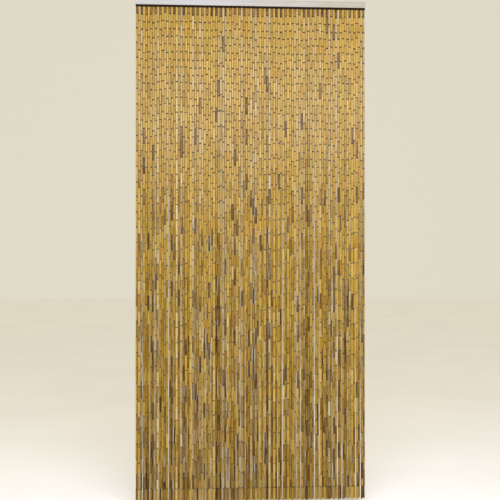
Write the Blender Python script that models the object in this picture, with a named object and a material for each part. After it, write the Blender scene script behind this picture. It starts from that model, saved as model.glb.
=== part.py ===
"""A bamboo door curtain: strands of bamboo tubes that hang side by side from a wooden batten.

Metres, +Z up, the curtain facing -Y. The origin is the centre of the batten's back face,
which goes against the wall or the door head. Each strand is a plain four-sided rod along the
line in which it hangs, every other one a little further back. The rods are fused at their
roots into the hanging strip.
"""

import math
from collections import namedtuple

import bmesh
import bpy
from mathutils import Vector

# The batten, a planed wooden lath
CURTAIN_WIDTH = 0.900
BATTEN_HEIGHT = 0.024
BATTEN_DEPTH = 0.020
BATTEN_ROUNDING = 0.0015

# The dark strip under it, which catches the top wire of every strand
SEAT_GAP = 0.0003
STRIP_SETBACK = 0.001
STRIP_HEIGHT = 0.0053
STRIP_DEPTH = 0.0145

# The strands: a tube and the wire link under it repeat down each one. They hang in two rows
# that spread apart with the drop, the even ones behind, counted from the left.
STRAND_COUNT = 99
STRAND_THICKNESS = 0.0088
STRAND_SIDES = 4
STRAND_SETBACK = 0.0016
ROW_SPACING = 0.0024
ROW_SPREADING = 0.0070
TUBE_REPEAT = 0.0592
REPEATS = 32.5
LINK_GAP = 0.0013
STRIP_TO_TUBE = 0.0005
ROOT_IN_STRIP = 0.002
SECTIONS = 7

# How far a strand leans to one side at the hem, and the turn from one strand's lean to the next
LEAN = 0.0006
LEAN_TURN = 2.4

# Where neighbouring strands have swung apart. The gap is counted from the left, 0 between the
# first two strands. The opening is what it gains at the hem, and start is the share of the drop
# above which the strands still hang evenly.
Parting = namedtuple("Parting", "gap opening start")
PARTINGS = (
    Parting(gap=2, opening=0.0008, start=0.35),
    Parting(gap=9, opening=0.0013, start=0.25),
    Parting(gap=13, opening=0.0014, start=0.20),
    Parting(gap=18, opening=0.0009, start=0.35),
    Parting(gap=24, opening=0.0013, start=0.40),
    Parting(gap=29, opening=0.0016, start=0.35),
    Parting(gap=33, opening=0.0006, start=0.50),
    Parting(gap=38, opening=0.0008, start=0.35),
    Parting(gap=42, opening=0.0012, start=0.45),
    Parting(gap=46, opening=0.0013, start=0.45),
    Parting(gap=54, opening=0.0004, start=0.60),
    Parting(gap=62, opening=0.0015, start=0.35),
    Parting(gap=67, opening=0.0014, start=0.45),
    Parting(gap=70, opening=0.0007, start=0.55),
    Parting(gap=76, opening=0.0017, start=0.20),
    Parting(gap=85, opening=0.0012, start=0.45),
    Parting(gap=88, opening=0.0007, start=0.50),
    Parting(gap=93, opening=0.0013, start=0.25),
    Parting(gap=95, opening=0.0013, start=0.20),
)
PARTING_REACH = 5  # strands on either side that a parting moves

# Levels worked out from the sizes above
BATTEN_BOTTOM = -BATTEN_HEIGHT / 2
STRIP_TOP = BATTEN_BOTTOM - SEAT_GAP
STRIP_BOTTOM = STRIP_TOP - STRIP_HEIGHT
FIRST_TUBE_TOP = STRIP_BOTTOM - STRIP_TO_TUBE
HEM = FIRST_TUBE_TOP - REPEATS * TUBE_REPEAT + LINK_GAP
STRAND_TOP = STRIP_BOTTOM + ROOT_IN_STRIP
MIDDLE_PLANE = -BATTEN_DEPTH / 2
STRAND_PITCH = (CURTAIN_WIDTH - 2 * STRAND_SETBACK - STRAND_THICKNESS) / (STRAND_COUNT - 1)

PALE_PINE = (0.72, 0.65, 0.48, 1.0)
BAMBOO = (0.55, 0.37, 0.15, 1.0)


def clear_scene():
    for old in list(bpy.data.objects):
        bpy.data.objects.remove(old)


def finish(name, colour, roughness):
    """A Principled material of one colour."""
    material = bpy.data.materials.new(name)
    material.use_nodes = True
    shader = material.node_tree.nodes["Principled BSDF"]
    shader.inputs["Base Color"].default_value = colour
    shader.inputs["Roughness"].default_value = roughness
    shader.inputs["Metallic"].default_value = 0.0
    return material


def place(name, shape, material=None):
    """Puts a bmesh in the scene as one named object."""
    mesh = bpy.data.meshes.new(name)
    shape.to_mesh(mesh)
    shape.free()
    obj = bpy.data.objects.new(name, mesh)
    bpy.context.scene.collection.objects.link(obj)
    if material:
        mesh.materials.append(material)
    return obj


def block(size, centre):
    """A closed box as a bmesh."""
    shape = bmesh.new()
    bmesh.ops.create_cube(shape, size=1.0)
    bmesh.ops.scale(shape, verts=shape.verts, vec=Vector(size))
    bmesh.ops.translate(shape, verts=shape.verts, vec=Vector(centre))
    return shape


def eased(share, start):
    """0 down to start, then rising smoothly to 1 at the hem."""
    rise = min(max((share - start) / (1.0 - start), 0.0), 1.0)
    return rise * (2.0 - rise)


def drift(strand, share):
    """How far a strand has moved sideways at a share of its drop, by its lean and the partings."""
    moved = LEAN * math.sin(strand * LEAN_TURN) * share
    for parting in PARTINGS:
        steps = strand - (parting.gap + 0.5)
        side = 1.0 if steps > 0 else -1.0
        held = max(0.0, 1.0 - (abs(steps) - 0.5) / PARTING_REACH)
        moved += side * held * eased(share, parting.start) * parting.opening / 2
    return moved


def row_side(strand):
    """Which side of the middle plane a strand is on: half a spacing back, or half a spacing forward."""
    return 0.5 if strand % 2 == 0 else -0.5


def add_strand(shape, strand):
    """One straight rod with its corners to the front, back and sides."""
    across = (strand - (STRAND_COUNT - 1) / 2) * STRAND_PITCH
    rod = bmesh.ops.create_cone(
        shape,
        cap_ends=True,
        segments=STRAND_SIDES,
        radius1=STRAND_THICKNESS / 2,
        radius2=STRAND_THICKNESS / 2,
        depth=STRAND_TOP - HEM,
    )
    depth = MIDDLE_PLANE + row_side(strand) * ROW_SPACING
    centre = Vector((across, depth, (STRAND_TOP + HEM) / 2))
    bmesh.ops.translate(shape, verts=rod["verts"], vec=centre)


def let_hang(shape):
    """Cuts every rod into sections and moves their corners to where the strands hang."""
    drop = STRAND_TOP - HEM
    for section in range(1, SECTIONS):
        level = Vector((0.0, 0.0, STRAND_TOP - drop * section / SECTIONS))
        everything = list(shape.verts) + list(shape.edges) + list(shape.faces)
        bmesh.ops.bisect_plane(shape, geom=everything, plane_co=level, plane_no=(0, 0, 1))
    for corner in shape.verts:
        strand = round(corner.co.x / STRAND_PITCH + (STRAND_COUNT - 1) / 2)
        share = (STRAND_TOP - corner.co.z) / drop
        corner.co.x += drift(strand, share)
        corner.co.y += row_side(strand) * ROW_SPREADING * share


def make_batten(material):
    centre = (0.0, MIDDLE_PLANE, 0.0)
    batten = place("batten", block((CURTAIN_WIDTH, BATTEN_DEPTH, BATTEN_HEIGHT), centre), material)
    rounding = batten.modifiers.new("planed edges", "BEVEL")
    rounding.width = BATTEN_ROUNDING
    rounding.segments = 2
    return batten


def make_rods():
    """All the rods in one mesh, as a helper for the union with the strip."""
    shape = bmesh.new()
    for strand in range(STRAND_COUNT):
        add_strand(shape, strand)
    let_hang(shape)
    rods = place("rods_helper", shape)
    rods.hide_render = True
    rods.display_type = "WIRE"
    return rods


def make_strands(material):
    """The hanging strip with the strands fused into its underside."""
    size = (CURTAIN_WIDTH - 2 * STRIP_SETBACK, STRIP_DEPTH, STRIP_HEIGHT)
    centre = (0.0, MIDDLE_PLANE, (STRIP_TOP + STRIP_BOTTOM) / 2)
    strands = place("strands", block(size, centre), material)
    roots = strands.modifiers.new("roots in the strip", "BOOLEAN")
    roots.operation = "UNION"
    roots.solver = "EXACT"
    roots.object = make_rods()
    return strands


clear_scene()
make_batten(finish("pale_pine", PALE_PINE, 0.55))
make_strands(finish("bamboo", BAMBOO, 0.45))
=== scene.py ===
"""The looks of a bamboo door curtain: strands of cane tubes linked with wire under a pine batten.

Metres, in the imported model's frame: the batten's back face is at the origin and the curtain
faces -Y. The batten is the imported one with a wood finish. Every tube, wire eye and the dark strip
that holds them is made here, along the same hanging lines as the solid strands.
"""

import math
import random
from collections import namedtuple

import bmesh
import bpy
import numpy as np
from mathutils import Euler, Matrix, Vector


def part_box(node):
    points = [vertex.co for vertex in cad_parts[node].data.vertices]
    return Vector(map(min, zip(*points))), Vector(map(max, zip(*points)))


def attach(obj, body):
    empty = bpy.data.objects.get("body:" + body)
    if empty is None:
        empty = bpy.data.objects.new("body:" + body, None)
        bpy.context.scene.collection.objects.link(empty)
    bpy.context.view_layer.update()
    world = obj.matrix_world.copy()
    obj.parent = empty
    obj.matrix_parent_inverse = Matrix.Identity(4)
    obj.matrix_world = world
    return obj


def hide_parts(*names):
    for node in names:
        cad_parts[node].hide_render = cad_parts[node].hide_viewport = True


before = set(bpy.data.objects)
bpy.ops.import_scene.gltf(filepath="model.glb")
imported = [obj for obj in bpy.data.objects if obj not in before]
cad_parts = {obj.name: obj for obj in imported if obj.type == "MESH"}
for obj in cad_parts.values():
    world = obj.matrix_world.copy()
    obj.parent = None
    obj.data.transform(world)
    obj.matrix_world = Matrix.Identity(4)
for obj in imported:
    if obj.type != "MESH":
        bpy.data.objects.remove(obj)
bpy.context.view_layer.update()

BATTEN_LOW, BATTEN_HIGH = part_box("batten")
STRANDS_LOW, STRANDS_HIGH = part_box("strands")

# The strip and the strands, as in the solids
STRIP_HEIGHT = 0.0053
STRIP_DEPTH = 0.0145
STRAND_COUNT = 99
STRAND_THICKNESS = 0.0088
STRAND_SETBACK = 0.0016
ROW_SPACING = 0.0024
ROW_SPREADING = 0.0070
TUBE_REPEAT = 0.0592
LINK_GAP = 0.0013
STRIP_TO_TUBE = 0.0005
ROOT_IN_STRIP = 0.002
LEAN = 0.0006
LEAN_TURN = 2.4

# Where neighbouring strands have swung apart. The gap is counted from the left, 0 between the
# first two strands. The opening is what it gains at the hem, and start is the share of the drop
# above which the strands still hang evenly.
Parting = namedtuple("Parting", "gap opening start")
PARTINGS = (
    Parting(gap=2, opening=0.0008, start=0.35),
    Parting(gap=9, opening=0.0013, start=0.25),
    Parting(gap=13, opening=0.0014, start=0.20),
    Parting(gap=18, opening=0.0009, start=0.35),
    Parting(gap=24, opening=0.0013, start=0.40),
    Parting(gap=29, opening=0.0016, start=0.35),
    Parting(gap=33, opening=0.0006, start=0.50),
    Parting(gap=38, opening=0.0008, start=0.35),
    Parting(gap=42, opening=0.0012, start=0.45),
    Parting(gap=46, opening=0.0013, start=0.45),
    Parting(gap=54, opening=0.0004, start=0.60),
    Parting(gap=62, opening=0.0015, start=0.35),
    Parting(gap=67, opening=0.0014, start=0.45),
    Parting(gap=70, opening=0.0007, start=0.55),
    Parting(gap=76, opening=0.0017, start=0.20),
    Parting(gap=85, opening=0.0012, start=0.45),
    Parting(gap=88, opening=0.0007, start=0.50),
    Parting(gap=93, opening=0.0013, start=0.25),
    Parting(gap=95, opening=0.0013, start=0.20),
)
PARTING_REACH = 5  # strands on either side that a parting moves

# Levels worked out from the sizes and the frame
STRIP_TOP = STRANDS_HIGH.z
STRIP_BOTTOM = STRIP_TOP - STRIP_HEIGHT
FIRST_TUBE_TOP = STRIP_BOTTOM - STRIP_TO_TUBE
STRAND_TOP = STRIP_BOTTOM + ROOT_IN_STRIP
HEM = STRANDS_LOW.z
MIDDLE_PLANE = (BATTEN_LOW.y + BATTEN_HIGH.y) / 2
CURTAIN_WIDTH = BATTEN_HIGH.x - BATTEN_LOW.x
STRAND_PITCH = (CURTAIN_WIDTH - 2 * STRAND_SETBACK - STRAND_THICKNESS) / (STRAND_COUNT - 1)

# One cane tube, and how far its girth, length and tilt stray
TUBE_GIRTH = 0.0093
TUBE_LENGTH = TUBE_REPEAT - LINK_GAP
LAST_TUBE_LENGTH = 0.048
SHORTEST_TUBE = 0.0205
TUBE_WALL = 0.0014
TUBE_RIM = 0.0005
TUBE_SIDES = 10
GIRTH_SPREAD = (0.0002, 0.0007)  # at the top and at the hem
GIRTH_LIMITS = (0.0072, 0.0100)
DARK_THINNER = 0.0015  # at the hem; less further up
TUBE_CLEARANCE = 0.0002
FIRST_SPREAD = 0.0028
LENGTH_SPREAD = 0.0018
GAP_SPREAD = 0.0006
LEAST_GAP = 0.0004
HEM_SPREAD = 0.0007
TILT_SPREAD = (0.0010, 0.0080)  # radians, at the top and at the hem
KNUCKLE_SHARE = 0.3  # tubes that were cut with a knuckle of the cane in them
KNUCKLE_BULGE = 1.04
KNUCKLE_HALF = 0.0013
KNUCKLE_PLACES = (-0.016, 0.004, 0.019)
HAIR = 1e-6  # less than the distance between any two levels of a form
SHARP_ANGLE = math.radians(42)

# The wire eyes that link the tubes
EYE_RADIUS = 0.0021
WIRE_RADIUS = 0.00042
EYE_STEPS = 8
WIRE_SIDES = 4
EYE_SPACING = 2 * (EYE_RADIUS - WIRE_RADIUS)
EYE_TURN = 0.5  # radians to either side
EYE_TONE = 0.5  # carried by every copy, though the wire's finish doesn't read it

# How the tubes differ in colour. A pair of values is for the top and for the hem.
MEAN_TONE = 0.51
# The mean tone falls towards the hem: painted shade, adding to the lamp's own fall-off.
HEM_SHADE_TONE_DROP = 0.04
TONE_SPREAD = (0.038, 0.133)
STRAND_TONE_SPREAD = 0.15
STRAND_TONE_WEIGHT = (0.1, 1.2)
DARK_SHARE = (0.01, 0.17)
DARK_TONE_DROP = 0.36
# The first half tubes are darker as painted shade of the batten over the back row.
FIRST_HALF_SHADE_DROP, FIRST_HALF_SHADE_SPREAD = 0.36, 0.12
TONE_LIMITS = (0.02, 0.98)
SHIFT_SPREAD = 0.17
STRAND_SHIFT_WEIGHT = (1.1, 0.8)
# Tube ends: partly a stain on the sawn ends, partly painted shade at the joints. Their fading towards the
# hem is painted shade.
STAIN_AND_SHADE = (1.05, 0.20)
STAIN_AND_SHADE_SPREAD = 0.25

STRIP_EDGE = 0.0006  # how far the strip's edges are rounded
STRANDS_IN_BAY = 9
SKIN, CUT = 0, 1  # the places of a tube's two finishes
SEED = 41


def eased(share, start):
    """0 down to start, then rising smoothly to 1 at the hem."""
    rise = min(max((share - start) / (1.0 - start), 0.0), 1.0)
    return rise * (2.0 - rise)


def drift(strand, share):
    """How far a strand has moved sideways at a share of its drop, by its lean and the partings."""
    moved = LEAN * math.sin(strand * LEAN_TURN) * share
    for parting in PARTINGS:
        steps = strand - (parting.gap + 0.5)
        side = 1.0 if steps > 0 else -1.0
        held = max(0.0, 1.0 - (abs(steps) - 0.5) / PARTING_REACH)
        moved += side * held * eased(share, parting.start) * parting.opening / 2
    return moved


def strand_place(strand, height):
    """The centre of a strand at a height."""
    share = (STRAND_TOP - height) / (STRAND_TOP - HEM)
    across = (strand - (STRAND_COUNT - 1) / 2) * STRAND_PITCH
    row = 0.5 if strand % 2 == 0 else -0.5
    depth = row * (ROW_SPACING + ROW_SPREADING * share)
    return Vector((across + drift(strand, share), MIDDLE_PLANE + depth, height))


def room_for_tube(strand, height):
    """The girth at which a tube just clears its neighbours."""
    here = strand_place(strand, height)
    beside = [n for n in (strand - 1, strand + 1) if 0 <= n < STRAND_COUNT]
    return min((strand_place(n, height) - here).length for n in beside) - TUBE_CLEARANCE


# Forms that repeat, as arrays of points and four-cornered faces
Form = namedtuple("Form", "points faces slots knuckle")


def as_form(shape, knuckle=None):
    """Empties a bmesh of four-cornered faces into arrays. The points of a knuckle's ring are marked."""
    bmesh.ops.recalc_face_normals(shape, faces=shape.faces)
    shape.verts.index_update()
    points = np.array([v.co[:] for v in shape.verts])
    faces = np.array([[v.index for v in f.verts] for f in shape.faces])
    slots = np.array([f.material_index for f in shape.faces])
    shape.free()
    ring = np.zeros(len(points)) if knuckle is None else (abs(points[:, 2] - knuckle) < HAIR) * 1.0
    return Form(points, faces, slots, ring)


def tube_form(length, knuckle=None):
    """A tube standing on Z with a bore right through it and, at some height, a cane knuckle."""
    shape = bmesh.new()
    radius = TUBE_GIRTH / 2
    bmesh.ops.create_cone(
        shape, cap_ends=True, segments=TUBE_SIDES, radius1=radius, radius2=radius, depth=length
    )
    lids = [f for f in shape.faces if len(f.verts) == TUBE_SIDES]
    bmesh.ops.inset_individual(shape, faces=lids, thickness=TUBE_WALL)
    mouths = [e for lid in lids for e in lid.edges]
    bmesh.ops.delete(shape, geom=lids, context="FACES_ONLY")
    bmesh.ops.bridge_loops(shape, edges=mouths)
    for face in shape.faces:
        face.material_index = CUT
    skin = [f for f in shape.faces if all(on_skin(v, radius) for v in f.verts)]
    for face in skin:
        face.material_index = SKIN
    if knuckle is not None:
        raise_knuckle(shape, knuckle)
    rims = [e for e in shape.edges if {f.material_index for f in e.link_faces} == {SKIN, CUT}]
    bmesh.ops.bevel(
        shape, geom=rims, offset=TUBE_RIM, segments=1, affect="EDGES", profile=0.5, material=CUT
    )
    return as_form(shape, knuckle)


def on_skin(point, radius):
    return math.hypot(point.co.x, point.co.y) > radius - TUBE_RIM


def raise_knuckle(shape, height):
    """Rings cut round the skin, the middle one swollen."""
    for level in (height - KNUCKLE_HALF, height, height + KNUCKLE_HALF):
        skin = [f for f in shape.faces if f.material_index == SKIN]
        edges = list({e for f in skin for e in f.edges})
        points = list({v for f in skin for v in f.verts})
        bmesh.ops.bisect_plane(
            shape, geom=skin + edges + points, plane_co=(0, 0, level), plane_no=(0, 0, 1)
        )
    ring = [v for v in shape.verts if abs(v.co.z - height) < HAIR]
    bmesh.ops.scale(shape, verts=ring, vec=(KNUCKLE_BULGE, KNUCKLE_BULGE, 1))


def eye_form():
    """A ring of wire standing in the XZ plane."""
    shape = bmesh.new()
    wire = bmesh.ops.create_circle(shape, segments=WIRE_SIDES, radius=WIRE_RADIUS)
    bmesh.ops.translate(shape, verts=wire["verts"], vec=(EYE_RADIUS, 0, 0))
    bmesh.ops.spin(
        shape,
        geom=list(shape.verts) + list(shape.edges),
        cent=(0, 0, 0),
        axis=(0, 1, 0),
        angle=math.tau,
        steps=EYE_STEPS,
        use_merge=True,
    )
    return as_form(shape)


# One copy of a form: its turn, its stretch, its place and what its finish varies with
Copy = namedtuple("Copy", "form turn stretch place tone shift stain")


def joined_copies(name, copies, materials):
    """All the copies as one mesh object, with the attributes that their finish reads."""
    points, faces, slots = [], [], []
    along, knuckle = [], []
    varied = {"tone": [], "shift": [], "stain": []}
    first = 0
    for copy in copies:
        form = copy.form
        turned = (form.points * copy.stretch) @ np.array(copy.turn.to_matrix()).T
        points.append(turned + np.array(copy.place))
        faces.append(form.faces + first)
        slots.append(form.slots)
        heights = form.points[:, 2]
        along.append((heights - heights.min()) / np.ptp(heights))
        knuckle.append(form.knuckle)
        for label, values in varied.items():
            values.append(np.full(len(heights), getattr(copy, label)))
        first += len(heights)
    mesh = bpy.data.meshes.new(name)
    mesh.from_pydata(np.concatenate(points), [], np.concatenate(faces).tolist())
    mesh.polygons.foreach_set("material_index", np.concatenate(slots))
    for label, values in {"along": along, "knuckle": knuckle, **varied}.items():
        layer = mesh.attributes.new(label, "FLOAT", "POINT")
        layer.data.foreach_set("value", np.concatenate(values).astype(np.float32))
    mesh.shade_smooth()
    mesh.set_sharp_from_angle(angle=SHARP_ANGLE)
    for material in materials:
        mesh.materials.append(material)
    piece = bpy.data.objects.new(name, mesh)
    bpy.context.scene.collection.objects.link(piece)
    return piece


def add(piece, replaced):
    """Hands a finished piece to the frame."""
    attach(piece, "root")
    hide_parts(replaced)


# Finishes
PATTERN_REACH = (3.0, 5.0, 7.0)  # metres that the copies' patterns are moved apart, on each axis


def new_finish(name, roughness, metallic=0.0):
    """A material, its node tree and its Principled shader."""
    material = bpy.data.materials.new(name)
    material.use_nodes = True
    tree = material.node_tree
    shader = tree.nodes["Principled BSDF"]
    shader.inputs["Roughness"].default_value = roughness
    shader.inputs["Metallic"].default_value = metallic
    return material, tree, shader


def math_node(tree, operation, first, second, clamp=False):
    """A Math node; each input is a socket or a number."""
    node = tree.nodes.new("ShaderNodeMath")
    node.operation = operation
    node.use_clamp = clamp
    for place, value in enumerate((first, second)):
        if isinstance(value, bpy.types.NodeSocket):
            tree.links.new(value, node.inputs[place])
        else:
            node.inputs[place].default_value = value
    return node.outputs[0]


def varied_by(tree, label):
    """The value that a piece carries under a label."""
    node = tree.nodes.new("ShaderNodeAttribute")
    node.attribute_name = label
    return node.outputs["Fac"]


def stretched_noise(tree, coords, scale, detail=3.0, roughness=0.55):
    """Noise stretched along the axes, by how many features fit in a metre of each."""
    mapping = tree.nodes.new("ShaderNodeMapping")
    mapping.inputs["Scale"].default_value = scale
    tree.links.new(coords, mapping.inputs["Vector"])
    noise = tree.nodes.new("ShaderNodeTexNoise")
    noise.inputs["Scale"].default_value = 1.0
    noise.inputs["Detail"].default_value = detail
    noise.inputs["Roughness"].default_value = roughness
    tree.links.new(mapping.outputs["Vector"], noise.inputs["Vector"])
    return noise.outputs["Fac"]


def object_coords(tree):
    return tree.nodes.new("ShaderNodeTexCoord").outputs["Object"]


def own_coords(tree, shift):
    """Object coordinates, moved by a different amount for each copy."""
    away = tree.nodes.new("ShaderNodeCombineXYZ")
    for place, reach in enumerate(PATTERN_REACH):
        tree.links.new(math_node(tree, "MULTIPLY", shift, reach), away.inputs[place])
    moved = tree.nodes.new("ShaderNodeVectorMath")
    tree.links.new(object_coords(tree), moved.inputs[0])
    tree.links.new(away.outputs[0], moved.inputs[1])
    return moved.outputs[0]


def ramp(tree, value, stops):
    """A colour ramp through its stops, each one a place and a colour."""
    node = tree.nodes.new("ShaderNodeValToRGB")
    while len(node.color_ramp.elements) < len(stops):
        node.color_ramp.elements.new(0.5)
    for element, (place, colour) in zip(node.color_ramp.elements, stops):
        element.position = place
        element.color = (*colour, 1.0)
    tree.links.new(value, node.inputs["Fac"])
    return node.outputs["Color"]


def mixed(tree, blend, factor, first, second):
    """A Mix node for colours; each input is a socket or a colour."""
    node = tree.nodes.new("ShaderNodeMix")
    node.data_type = "RGBA"
    node.blend_type = blend
    sockets = (node.inputs["Factor"], node.inputs[6], node.inputs[7])
    for socket, value in zip(sockets, (factor, first, second)):
        if isinstance(value, bpy.types.NodeSocket):
            tree.links.new(value, socket)
        elif isinstance(value, tuple):
            socket.default_value = (*value, 1.0)
        else:
            socket.default_value = value
    return node.outputs[2]


def bump(tree, shader, height, distance, strength):
    node = tree.nodes.new("ShaderNodeBump")
    node.inputs["Distance"].default_value = distance
    node.inputs["Strength"].default_value = strength
    tree.links.new(height, node.inputs["Height"])
    tree.links.new(node.outputs["Normal"], shader.inputs["Normal"])


# Tones run from the darkest cane to the palest, tints from one kind of cane to another
CANE_TONES = (
    (0.00, (0.060, 0.026, 0.004)),
    (0.12, (0.135, 0.064, 0.009)),
    (0.30, (0.245, 0.134, 0.016)),
    (0.52, (0.370, 0.224, 0.032)),
    (0.78, (0.470, 0.315, 0.080)),
    (1.00, (0.570, 0.430, 0.190)),
)
GREYED_TONES = (
    (0.00, (0.066, 0.032, 0.005)),
    (0.30, (0.228, 0.145, 0.032)),
    (0.52, (0.345, 0.250, 0.090)),
    (0.78, (0.460, 0.370, 0.175)),
    (1.00, (0.570, 0.485, 0.280)),
)
CANE_TINTS = (
    (0.00, (1.03, 0.96, 0.62)),
    (0.25, (0.95, 1.00, 0.72)),
    (0.45, (1.00, 1.00, 0.85)),
    (0.65, (1.04, 0.96, 0.75)),
    (0.80, (1.00, 1.00, 1.00)),
)
GREYED_SHIFT = (0.60, 1.00)
MOST_GREYED = 0.75
SKIN_ROUGHNESS = 0.52
SKIN_SPECULAR = 0.45
SKIN_ANISOTROPY = 0.8
SKIN_REFLECTION = (1.0, 0.92, 0.74, 1.0)
CANE_GRAIN = (280, 280, 14)
CANE_MOTTLE = (90, 90, 38)
GRAIN_WEIGHT = 0.95
MOTTLE_WEIGHT = 0.24
PATTERN_MEAN = 0.59  # taken off again, so that the patterns leave a tube's mean tone as it is
CANE_RELIEF = 0.0003
KNUCKLE_SHADE = (0.13, 0.075, 0.025)
# The darkened tube ends: partly a stain, partly painted shade at the joints
END_SHADE = (0.15, 0.10, 0.04)
END_STAIN_AND_SHADE_DEPTHS = (0.0013, 0.0033)  # from a tube's end, where the stain and painted shade start to fade and end

CUT_ROUGHNESS = 0.8
CUT_FIBRES = (1600, 1600, 60)
# Near black: painted shade of the bore and of the undersides seen at the joints, over the end grain's own
# fibres.
CUT_TONES = ((0.35, (0.020, 0.011, 0.003)), (0.65, (0.060, 0.034, 0.011)))

WIRE_ROUGHNESS = 0.6
WIRE_METALLIC = 0.3
WIRE_SPECULAR = 0.25
WIRE_RUST = (420, 420, 420)
WIRE_TONES = ((0.40, (0.020, 0.012, 0.005)), (0.65, (0.050, 0.028, 0.012)))

STRIP_ROUGHNESS = 0.9
STRIP_SPECULAR = 0.1
STRIP_GRAIN = (16, 400, 900)
# Near black: partly dark wood, partly painted shade of the slot under the batten.
STRIP_TONES = ((0.30, (0.008, 0.004, 0.001)), (0.70, (0.020, 0.011, 0.003)))

PINE_ROUGHNESS = 0.55
PINE_GRAIN = (5, 260, 420)
PINE_BOARDS = (9, 30, 24)
PALE_PINE = (
    (0.30, (0.290, 0.275, 0.215)),
    (0.50, (0.355, 0.345, 0.285)),
    (0.75, (0.410, 0.400, 0.345)),
)
WARM_PINE = (
    (0.30, (0.245, 0.215, 0.135)),
    (0.50, (0.300, 0.265, 0.175)),
    (0.75, (0.345, 0.310, 0.225)),
)
# Paler and greyer at the left, warmer at the right: painted light falling from the left. The boards also
# differ in warmth of their own.
WARMER_TO_RIGHT = 1.5  # to a metre
WARMER_BY_BOARD = 1.6
WARM_AT_MIDDLE = 0.30
PINE_RELIEF = 0.0004
RELIEF_STRENGTH = 0.3

PAINT_CLOUD = (1.5, 1.5, 1.5)
PAINT_DARKER = 0.97


def mapped(tree, value, given, wanted):
    """A value mapped from one range to another, and held at their ends."""
    node = tree.nodes.new("ShaderNodeMapRange")
    node.inputs["From Min"].default_value, node.inputs["From Max"].default_value = given
    node.inputs["To Min"].default_value, node.inputs["To Max"].default_value = wanted
    tree.links.new(value, node.inputs["Value"])
    return node.outputs[0]


def near_ends(tree, along):
    """1 at a tube's ends, falling to 0 a short way in."""
    nearest = math_node(tree, "MINIMUM", along, math_node(tree, "SUBTRACT", 1.0, along))
    return mapped(tree, nearest, [depth / TUBE_LENGTH for depth in END_STAIN_AND_SHADE_DEPTHS], (1.0, 0.0))


def cane_colour(tree, shift, grain, mottle):
    """A tube's tone, with its patterns, as the colour of its kind of cane."""
    tone = math_node(tree, "ADD", varied_by(tree, "tone"), math_node(tree, "MULTIPLY", grain, GRAIN_WEIGHT))
    tone = math_node(tree, "ADD", tone, math_node(tree, "MULTIPLY", mottle, MOTTLE_WEIGHT))
    tone = math_node(tree, "SUBTRACT", tone, PATTERN_MEAN)
    greyed = mapped(tree, shift, GREYED_SHIFT, (0.0, MOST_GREYED))
    colour = mixed(tree, "MIX", greyed, ramp(tree, tone, CANE_TONES), ramp(tree, tone, GREYED_TONES))
    return mixed(tree, "MULTIPLY", 1.0, colour, ramp(tree, shift, CANE_TINTS))


def cane_skin():
    """Smooth golden cane skin: each tube its own tone, with grain along it."""
    material, tree, shader = new_finish("cane_skin", SKIN_ROUGHNESS)
    shader.inputs["Specular IOR Level"].default_value = SKIN_SPECULAR
    shader.inputs["Anisotropic"].default_value = SKIN_ANISOTROPY
    shader.inputs["Specular Tint"].default_value = SKIN_REFLECTION
    shift = varied_by(tree, "shift")
    coords = own_coords(tree, shift)
    grain = stretched_noise(tree, coords, CANE_GRAIN)
    mottle = stretched_noise(tree, coords, CANE_MOTTLE, detail=2.0)
    colour = cane_colour(tree, shift, grain, mottle)
    colour = mixed(tree, "MIX", varied_by(tree, "knuckle"), colour, KNUCKLE_SHADE)
    # Tube ends darkened by a stain and by painted shade at the joints
    ends = near_ends(tree, varied_by(tree, "along"))
    stained_and_shaded = math_node(tree, "MULTIPLY", ends, varied_by(tree, "stain"))
    colour = mixed(tree, "MULTIPLY", stained_and_shaded, colour, END_SHADE)
    tree.links.new(colour, shader.inputs["Base Color"])
    bump(tree, shader, grain, CANE_RELIEF, RELIEF_STRENGTH)
    return material


def cane_cut():
    """The sawn ends and the bore: short fibres, near black, darkened as painted shade of the bore and the
    tubes' undersides.
    """
    material, tree, shader = new_finish("cane_cut", CUT_ROUGHNESS)
    coords = own_coords(tree, varied_by(tree, "shift"))
    fibres = stretched_noise(tree, coords, CUT_FIBRES, detail=2.0)
    tree.links.new(ramp(tree, fibres, CUT_TONES), shader.inputs["Base Color"])
    return material


def link_wire():
    """Thin steel wire, dulled brown."""
    material, tree, shader = new_finish("link_wire", WIRE_ROUGHNESS, WIRE_METALLIC)
    shader.inputs["Specular IOR Level"].default_value = WIRE_SPECULAR
    rust = stretched_noise(tree, object_coords(tree), WIRE_RUST)
    tree.links.new(ramp(tree, rust, WIRE_TONES), shader.inputs["Base Color"])
    return material


def strip_wood():
    """The strip under the batten, near black: dark wood, darkened as painted shade of the slot under the
    batten.
    """
    material, tree, shader = new_finish("strip_wood", STRIP_ROUGHNESS)
    shader.inputs["Specular IOR Level"].default_value = STRIP_SPECULAR
    grain = stretched_noise(tree, object_coords(tree), STRIP_GRAIN)
    tree.links.new(ramp(tree, grain, STRIP_TONES), shader.inputs["Base Color"])
    return material


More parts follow.
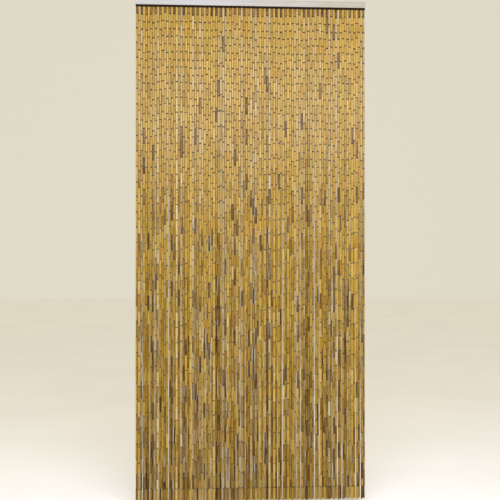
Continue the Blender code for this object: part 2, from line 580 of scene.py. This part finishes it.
def batten_wood():
    """Planed pale pine: long grain, darker growth lines, boards that differ in warmth, and paler and greyer
    at the left than at the right, which is painted light from the left.
    """
    material, tree, shader = new_finish("batten_wood", PINE_ROUGHNESS)
    coords = object_coords(tree)
    grain = stretched_noise(tree, coords, PINE_GRAIN, detail=5.0, roughness=0.6)
    boards = stretched_noise(tree, coords, PINE_BOARDS, detail=2.0)
    across = tree.nodes.new("ShaderNodeSeparateXYZ")
    tree.links.new(coords, across.inputs[0])
    # Painted light: paler at the left
    painted_side_light = math_node(tree, "MULTIPLY", across.outputs["X"], WARMER_TO_RIGHT)
    by_board = math_node(tree, "MULTIPLY", math_node(tree, "SUBTRACT", boards, 0.5), WARMER_BY_BOARD)
    warmth = math_node(tree, "ADD", painted_side_light, by_board)
    warmth = math_node(tree, "ADD", warmth, WARM_AT_MIDDLE, clamp=True)
    colour = mixed(tree, "MIX", warmth, ramp(tree, grain, PALE_PINE), ramp(tree, grain, WARM_PINE))
    tree.links.new(colour, shader.inputs["Base Color"])
    bump(tree, shader, grain, PINE_RELIEF, RELIEF_STRENGTH)
    return material


def plain_paint(name, colour, roughness):
    """Pale paint with the faintest cloudiness."""
    material, tree, shader = new_finish(name, roughness)
    cloud = stretched_noise(tree, object_coords(tree), PAINT_CLOUD, detail=2.0)
    darker = tuple(PAINT_DARKER * c for c in colour)
    tree.links.new(ramp(tree, cloud, ((0.35, darker), (0.65, colour))), shader.inputs["Base Color"])
    return material


# Pieces
def grown(ends, share):
    """A value that goes from one at the top to another at the hem."""
    return ends[0] + (ends[1] - ends[0]) * share


def clamped(value, low, high):
    """The value, kept between two limits."""
    return min(max(value, low), high)


def strand_tubes(strand, chance):
    """The tubes of one strand from the top down, as (top, bottom) heights.

    Every other strand starts with a half tube. The last tubes are trimmed alike, so that the
    last joints and the hem are in line. A short tube above them takes up what is over, or where
    that is too little for a tube, all the strand's tubes share it.
    """
    last_top = HEM + LAST_TUBE_LENGTH + chance.gauss(0, HEM_SPREAD)
    above_last = last_top + LINK_GAP
    spans = []
    top = FIRST_TUBE_TOP
    step = (TUBE_REPEAT / 2 if strand % 2 == 0 else TUBE_REPEAT) + chance.gauss(0, FIRST_SPREAD)
    while top - step > last_top:
        below = top - step - chance.gauss(0, LENGTH_SPREAD)
        gap = max(LINK_GAP - abs(chance.gauss(0, GAP_SPREAD)), LEAST_GAP)
        spans.append((top, below + gap))
        top = below
        step = TUBE_REPEAT
    if top - above_last > SHORTEST_TUBE:
        spans.append((top, above_last))
    else:
        fuller = (FIRST_TUBE_TOP - above_last) / (FIRST_TUBE_TOP - spans[-1][1])
        drops = [[FIRST_TUBE_TOP - end for end in span] for span in spans]
        spans = [tuple(FIRST_TUBE_TOP - fuller * drop for drop in pair) for pair in drops]
    spans.append((last_top, HEM + chance.gauss(0, HEM_SPREAD)))
    return spans


def tube_girth(chance, share, dark, room):
    """A tube's girth, within the limits and the room between its neighbours. Dark canes are thinner."""
    girth = chance.gauss(TUBE_GIRTH, grown(GIRTH_SPREAD, share))
    if dark:
        girth -= DARK_THINNER * share
    return min(clamped(girth, *GIRTH_LIMITS), room)


def tube_tone(chance, strand_tone, share, dark, first_half):
    """How light a tube is: near its strand's tone, but for the dark ones and the first half tubes, which
    are darkened as painted shade of the batten.
    """
    # Darker towards the hem as painted shade
    mean = MEAN_TONE - HEM_SHADE_TONE_DROP * share ** 2
    tone = strand_tone * grown(STRAND_TONE_WEIGHT, share) + chance.gauss(mean, grown(TONE_SPREAD, share))
    if dark:
        tone -= DARK_TONE_DROP
    # Painted shade of the batten on the first half tubes
    if first_half:
        tone -= abs(chance.gauss(FIRST_HALF_SHADE_DROP, FIRST_HALF_SHADE_SPREAD))
    return clamped(tone, *TONE_LIMITS)


def tube_shift(chance, strand_shift, share):
    """Which kind of cane a tube is, from 0 to 1: near its strand's kind, less so towards the hem."""
    return clamped(chance.gauss(strand_shift * grown(STRAND_SHIFT_WEIGHT, share), SHIFT_SPREAD), 0.0, 1.0)


def end_stain_and_shade(chance, share):
    """How dark a tube's ends are, from a stain and painted shade at the joints: nearly black at the top,
    faint lower down.
    """
    return clamped(chance.gauss(grown(STAIN_AND_SHADE, share), STAIN_AND_SHADE_SPREAD), 0.0, 1.0)


def strand_copies(strand, plain, knuckled, eye):
    """The tubes of one strand, and the two eyes at each of its joints."""
    chance = random.Random(SEED * 1000 + strand)
    strand_tone = chance.gauss(0, STRAND_TONE_SPREAD)
    strand_shift = chance.random()
    spans = strand_tubes(strand, chance)
    tubes, eyes = [], []
    for order, (top, bottom) in enumerate(spans):
        middle = strand_place(strand, (top + bottom) / 2)
        form = chance.choice(knuckled) if chance.random() < KNUCKLE_SHARE else plain
        share = (STRAND_TOP - middle.z) / (STRAND_TOP - HEM)
        dark = chance.random() < grown(DARK_SHARE, share)
        wide = tube_girth(chance, share, dark, room_for_tube(strand, middle.z)) / TUBE_GIRTH
        lean = grown(TILT_SPREAD, share)
        tilt = Euler((chance.gauss(0, lean), chance.gauss(0, lean), chance.uniform(0, math.tau)))
        stretch = (wide, wide, (top - bottom) / TUBE_LENGTH)
        tone = tube_tone(chance, strand_tone, share, dark, order == 0 and strand % 2 == 0)
        shift = tube_shift(chance, strand_shift, share)
        tubes.append(Copy(form, tilt, stretch, middle, tone, shift, end_stain_and_shade(chance, share)))
    for (_, above), (below, _) in zip(spans, spans[1:]):
        link = strand_place(strand, (above + below) / 2)
        turned = chance.uniform(-EYE_TURN, EYE_TURN)
        for side, turn in ((0.5, turned), (-0.5, turned + math.pi / 2)):
            place = link + Vector((0, 0, side * EYE_SPACING))
            eyes.append(Copy(eye, Euler((0, 0, turn)), (1, 1, 1), place, EYE_TONE, chance.random(), 0.0))
    return tubes, eyes


def make_bays(skin, cut, wire):
    """Tubes and links, nine strands to a piece."""
    plain = tube_form(TUBE_LENGTH)
    knuckled = [tube_form(TUBE_LENGTH, place) for place in KNUCKLE_PLACES]
    eye = eye_form()
    for first in range(0, STRAND_COUNT, STRANDS_IN_BAY):
        tubes, eyes = [], []
        for strand in range(first, first + STRANDS_IN_BAY):
            more_tubes, more_eyes = strand_copies(strand, plain, knuckled, eye)
            tubes += more_tubes
            eyes += more_eyes
        number = first // STRANDS_IN_BAY + 1
        add(joined_copies(f"tubes_bay_{number:02d}", tubes, (skin, cut)), "strands")
        add(joined_copies(f"links_bay_{number:02d}", eyes, (wire,)), "strands")


def make_strip(wood):
    """The dark strip under the batten, from which the strands hang."""
    shape = bmesh.new()
    bmesh.ops.create_cube(shape, size=1.0)
    size = (STRANDS_HIGH.x - STRANDS_LOW.x, STRIP_DEPTH, STRIP_HEIGHT)
    centre = (0, MIDDLE_PLANE, (STRIP_TOP + STRIP_BOTTOM) / 2)
    bmesh.ops.scale(shape, verts=shape.verts, vec=size)
    bmesh.ops.translate(shape, verts=shape.verts, vec=centre)
    bmesh.ops.bevel(
        shape, geom=shape.edges[:], offset=STRIP_EDGE, segments=2, affect="EDGES", profile=0.5, material=-1
    )
    mesh = bpy.data.meshes.new("hanging_strip")
    shape.to_mesh(mesh)
    shape.free()
    mesh.materials.append(wood)
    piece = bpy.data.objects.new("hanging_strip", mesh)
    bpy.context.scene.collection.objects.link(piece)
    add(piece, "strands")


# The studio. The room is dimmer ahead of the curtain than behind it, a long narrow lamp lights the
# upper part of its front, and a wide soft light comes from above.
FLOOR_LEVEL = HEM - 0.020
FLOOR_RADIUS = 14.0
FLOOR_SIDES = 96
FLOOR_PAINT = (0.955, 0.930, 0.85)
FLOOR_ROUGHNESS = 0.9
CAMERA_PLACE = Vector((-0.165, -3.010, -0.9785))
CAMERA_AIM = Vector((-0.0042, -0.010, -0.9650))
CAMERA_LENS = 55.29
KEY_PLACE = Vector((0.08, -1.95, -0.04))
KEY_AIM = Vector((0.0, 0.0, -0.36))
KEY_SIZE = (2.8, 0.3)
KEY_POWER = 64.0
KEY_COLOUR = (0.93, 0.985, 1.32)
ROOM_AHEAD = (0.432, 0.402, 0.322)
ROOM_BEHIND = (0.755, 0.708, 0.59)
TOP_LIGHT = 0.58
TOP_SOFTNESS = math.radians(60)


def aimed(place, aim):
    return (aim - place).to_track_quat("-Z", "Y").to_euler()


def make_studio():
    shape = bmesh.new()
    bmesh.ops.create_circle(shape, cap_ends=True, segments=FLOOR_SIDES, radius=FLOOR_RADIUS)
    bmesh.ops.translate(shape, verts=shape.verts, vec=(0, 0, FLOOR_LEVEL))
    mesh = bpy.data.meshes.new("floor")
    shape.to_mesh(mesh)
    shape.free()
    mesh.materials.append(plain_paint("floor_paint", FLOOR_PAINT, FLOOR_ROUGHNESS))
    floor = bpy.data.objects.new("floor", mesh)
    bpy.context.scene.collection.objects.link(floor)

    world = bpy.data.worlds.new("soft_room")
    world.use_nodes = True
    tree = world.node_tree
    axes = tree.nodes.new("ShaderNodeSeparateXYZ")
    tree.links.new(tree.nodes.new("ShaderNodeTexCoord").outputs["Generated"], axes.inputs[0])
    behind = mapped(tree, axes.outputs["Y"], (-1.0, 1.0), (0.0, 1.0))
    room = mixed(tree, "MIX", behind, ROOM_AHEAD, ROOM_BEHIND)
    tree.links.new(room, tree.nodes["Background"].inputs["Color"])
    bpy.context.scene.world = world

    key = bpy.data.lights.new("key", "AREA")
    key.shape = "RECTANGLE"
    key.size, key.size_y = KEY_SIZE
    key.energy = KEY_POWER
    key.color = KEY_COLOUR
    lamp = bpy.data.objects.new("key", key)
    lamp.location = KEY_PLACE
    lamp.rotation_euler = aimed(KEY_PLACE, KEY_AIM)
    lamp.visible_camera = False
    bpy.context.scene.collection.objects.link(lamp)

    above = bpy.data.lights.new("above", "SUN")
    above.energy = TOP_LIGHT
    above.angle = TOP_SOFTNESS
    lamp = bpy.data.objects.new("above", above)
    bpy.context.scene.collection.objects.link(lamp)

    camera = bpy.data.objects.new("camera", bpy.data.cameras.new("camera"))
    camera.data.lens = CAMERA_LENS
    camera.location = CAMERA_PLACE
    camera.rotation_euler = aimed(CAMERA_PLACE, CAMERA_AIM)
    bpy.context.scene.collection.objects.link(camera)
    bpy.context.scene.camera = camera
    bpy.context.scene.view_settings.view_transform = "Standard"


make_studio()
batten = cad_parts["batten"]
batten.data.materials.clear()
batten.data.materials.append(batten_wood())
make_bays(cane_skin(), cane_cut(), link_wire())
make_strip(strip_wood())
